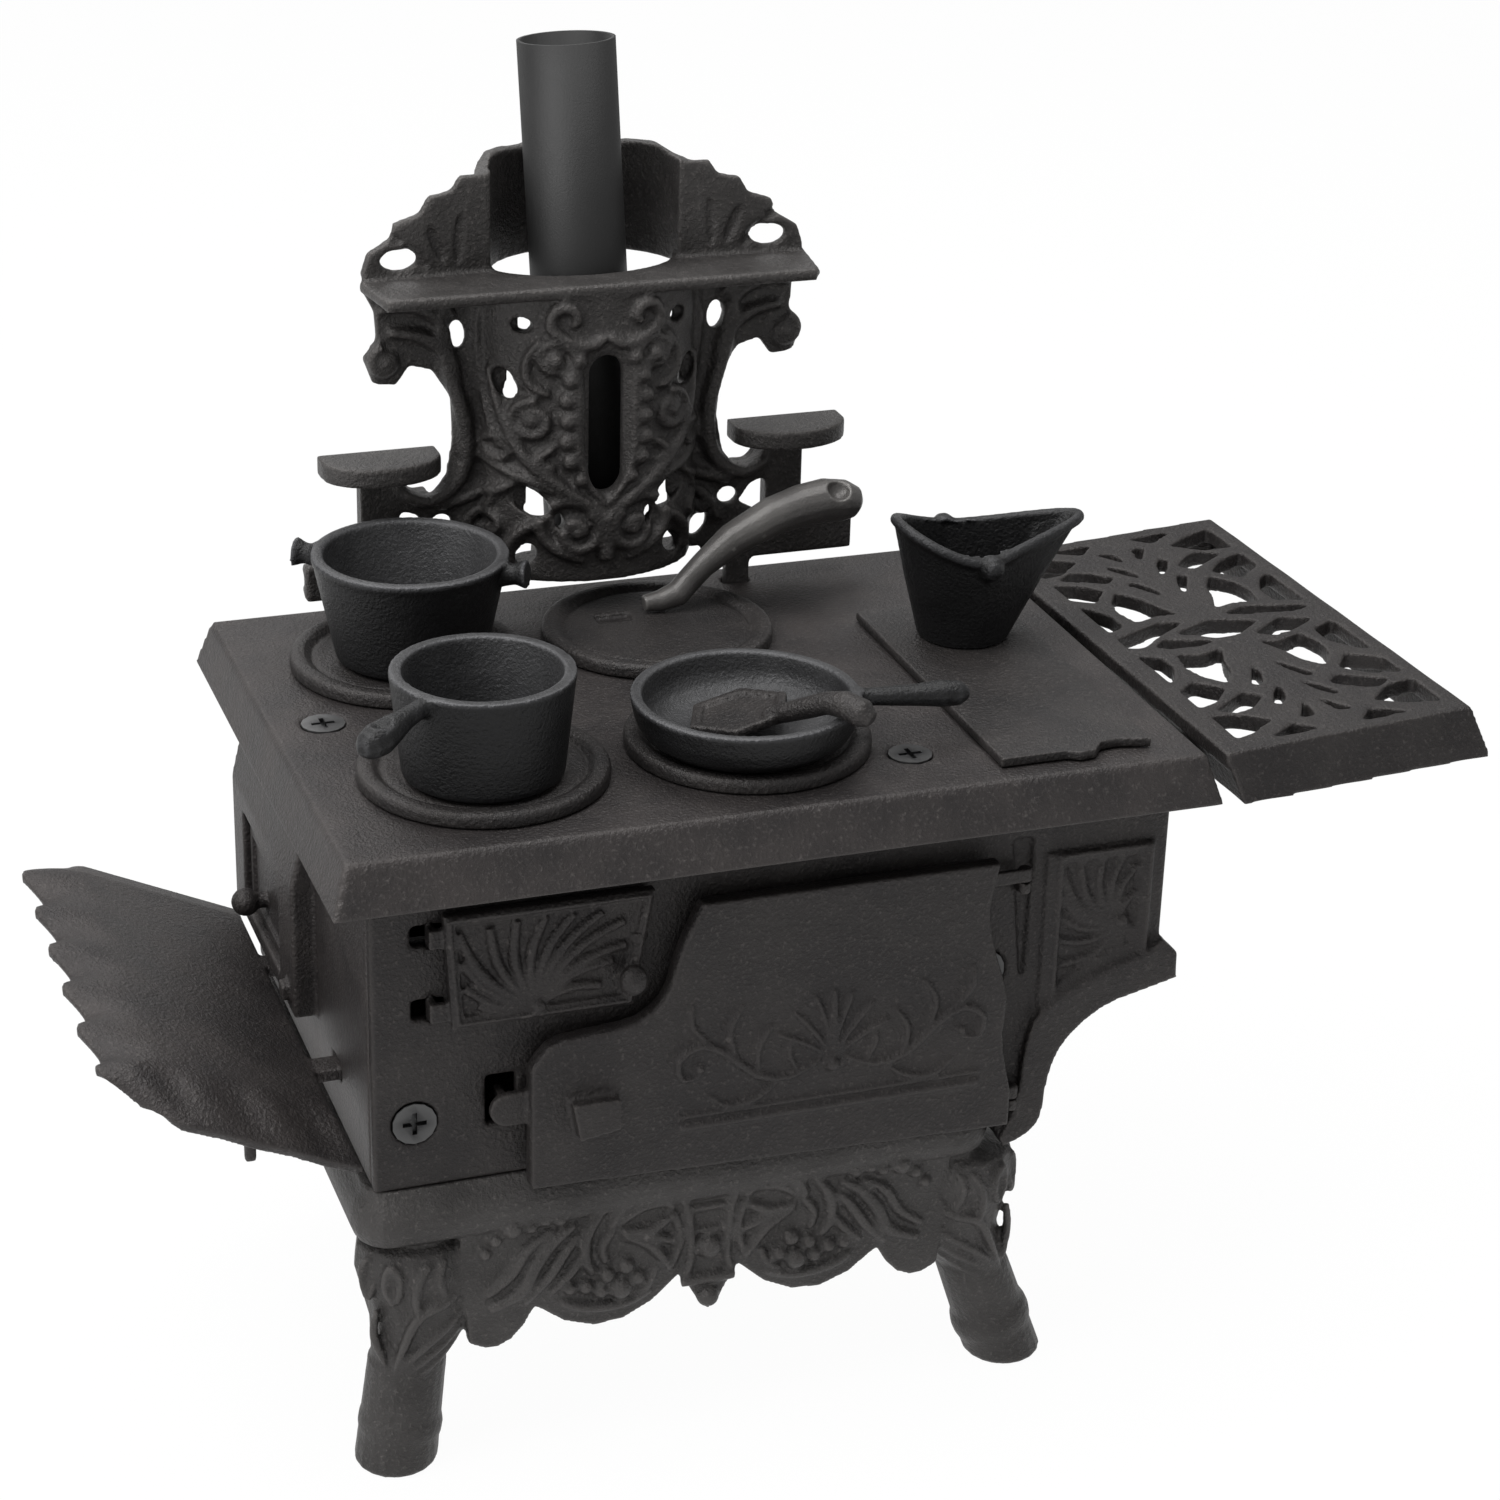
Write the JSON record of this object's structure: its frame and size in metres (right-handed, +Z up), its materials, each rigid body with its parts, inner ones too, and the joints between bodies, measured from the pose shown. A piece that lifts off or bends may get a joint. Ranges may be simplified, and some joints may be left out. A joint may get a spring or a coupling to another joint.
{
  "type": "miniature wood cook stove",
  "caption": "Miniature cast-iron cook stove with loose lids, hinged doors, lift-up hearth, grille side shelf, pierced backsplash, leaning pipe, pots and tools.",
  "frame": {"origin": "on the floor, under the middle of the whole object's box", "axes": "+X to the right as seen from the front, -Y out of the front where the oven door is, +Z up"},
  "size_m": [0.3194, 0.158, 0.298],
  "materials": {
    "cooktop": "satin black cast iron with a fine sand-cast grain",
    "lid_front_left": "satin black cast iron with a fine sand-cast grain",
    "lid_front_right": "satin black cast iron with a fine sand-cast grain",
    "lid_back_left": "satin black cast iron with a fine sand-cast grain",
    "lid_back_right": "satin black cast iron with a fine sand-cast grain",
    "reservoir_cover": "satin black cast iron with a fine sand-cast grain",
    "front_panel": "satin black cast iron with a fine sand-cast grain",
    "back_panel": "satin black cast iron with a fine sand-cast grain",
    "left_end": "satin black cast iron with a fine sand-cast grain",
    "reservoir": "satin black cast iron with a fine sand-cast grain",
    "base": "satin black cast iron with a fine sand-cast grain",
    "fire_door": "satin black cast iron with a fine sand-cast grain",
    "oven_door": "satin black cast iron with a fine sand-cast grain",
    "end_flap": "satin black cast iron with a fine sand-cast grain",
    "hearth": "satin black cast iron with a fine sand-cast grain",
    "side_shelf": "satin black cast iron with a fine sand-cast grain",
    "backsplash": "satin black cast iron with a fine sand-cast grain",
    "stove_pipe": "rolled sheet steel, blacked",
    "dutch_oven": "black cast iron, worn grey on the rims",
    "saucepan": "black cast iron, worn grey on the rims",
    "skillet": "black cast iron, worn grey on the rims",
    "coal_shovel": "satin black cast iron with a fine sand-cast grain",
    "lid_lifter": "satin black cast iron with a fine sand-cast grain",
    "coal_hod": "black cast iron, worn grey on the rims",
    "cooktop_screw_left": "blacked steel with a cross recess",
    "cooktop_screw_right": "blacked steel with a cross recess",
    "front_screw_left": "blacked steel with a cross recess",
    "front_screw_right": "blacked steel with a cross recess",
    "back_screw_left": "blacked steel with a cross recess",
    "back_screw_right": "blacked steel with a cross recess"
  },
  "bodies": {
    "range": {"base": "base", "cooktop": "cooktop", "front_panel": "front_panel", "back_panel": "back_panel", "left_end": "left_end", "reservoir": "reservoir", "backsplash": "backsplash", "cooktop_screw_left": "cooktop_screw_left", "cooktop_screw_right": "cooktop_screw_right", "front_screw_left": "front_screw_left", "front_screw_right": "front_screw_right", "back_screw_left": "back_screw_left", "back_screw_right": "back_screw_right"},
    "lid_front_left": {"lid_front_left": "lid_front_left"},
    "lid_front_right": {"lid_front_right": "lid_front_right"},
    "lid_back_left": {"lid_back_left": "lid_back_left"},
    "lid_back_right": {"lid_back_right": "lid_back_right"},
    "reservoir_cover": {"reservoir_cover": "reservoir_cover"},
    "fire_door": {"fire_door": "fire_door"},
    "oven_door": {"oven_door": "oven_door"},
    "end_flap": {"end_flap": "end_flap"},
    "hearth": {"hearth": "hearth"},
    "side_shelf": {"side_shelf": "side_shelf"},
    "stove_pipe": {"stove_pipe": "stove_pipe"},
    "dutch_oven": {"dutch_oven": "dutch_oven"},
    "saucepan": {"saucepan": "saucepan"},
    "skillet": {"skillet": "skillet"},
    "coal_shovel": {"coal_shovel": "coal_shovel"},
    "lid_lifter": {"lid_lifter": "lid_lifter"},
    "coal_hod": {"coal_hod": "coal_hod"}
  },
  "joints": [
    {"name": "oven_door_hinge", "type": "hinge", "parent": "range", "child": "oven_door", "pos_m": [0.04789, -0.06813, 0.1], "axis": [0, 0, 1], "range_deg": [0, 95]},
    {"name": "fire_door_hinge", "type": "hinge", "parent": "range", "child": "fire_door", "pos_m": [-0.08941, -0.06423, 0.129], "axis": [0, 0, -1], "range_deg": [0, 90]},
    {"name": "end_flap_hinge", "type": "hinge", "parent": "range", "child": "end_flap", "pos_m": [-0.10561, 0.02047, 0.1184], "axis": [0, 1, 0], "range_deg": [0, 60]},
    {"name": "hearth_hinge", "type": "hinge", "parent": "range", "child": "hearth", "pos_m": [-0.09981, -0.00553, 0.0871], "axis": [0, 1, 0], "range_deg": [0, 6]},
    {"name": "side_shelf_hinge", "type": "hinge", "parent": "range", "child": "side_shelf", "pos_m": [0.09139, -0.01053, 0.1508], "axis": [0, -1, 0], "range_deg": [0, 6]},
    {"name": "lid_front_left_lift", "type": "slide", "parent": "range", "child": "lid_front_left", "axis": [0, 0, 1], "range_m": [0, 0.03]},
    {"name": "lid_front_right_lift", "type": "slide", "parent": "range", "child": "lid_front_right", "axis": [0, 0, 1], "range_m": [0, 0.03]},
    {"name": "lid_back_left_lift", "type": "slide", "parent": "range", "child": "lid_back_left", "axis": [0, 0, 1], "range_m": [0, 0.004]},
    {"name": "lid_back_right_lift", "type": "slide", "parent": "range", "child": "lid_back_right", "axis": [0, 0, 1], "range_m": [0, 0.005]},
    {"name": "reservoir_cover_lift", "type": "slide", "parent": "range", "child": "reservoir_cover", "axis": [0, 0, 1], "range_m": [0, 0.02]},
    {"name": "stove_pipe_draw", "type": "slide", "parent": "range", "child": "stove_pipe", "axis": [-0.0348, 0.0872, 0.9956], "range_m": [0, 0.06]},
    {"name": "dutch_oven_lift", "type": "slide", "parent": "lid_back_left", "child": "dutch_oven", "axis": [0, -0.7071, 0.7071], "range_m": [0, 0.018]},
    {"name": "saucepan_lift", "type": "slide", "parent": "lid_front_left", "child": "saucepan", "axis": [0, 0, 1], "range_m": [0, 0.03]},
    {"name": "skillet_lift", "type": "slide", "parent": "lid_front_right", "child": "skillet", "axis": [0, 0, 1], "range_m": [0, 0.03]},
    {"name": "coal_shovel_lift", "type": "slide", "parent": "skillet", "child": "coal_shovel", "axis": [0, 0, 1], "range_m": [0, 0.03]},
    {"name": "lid_lifter_lift", "type": "slide", "parent": "lid_back_right", "child": "lid_lifter", "axis": [0, 0, 1], "range_m": [0, 0.03]},
    {"name": "coal_hod_lift", "type": "slide", "parent": "reservoir_cover", "child": "coal_hod", "axis": [0, 0, 1], "range_m": [0, 0.03]}
  ]
}
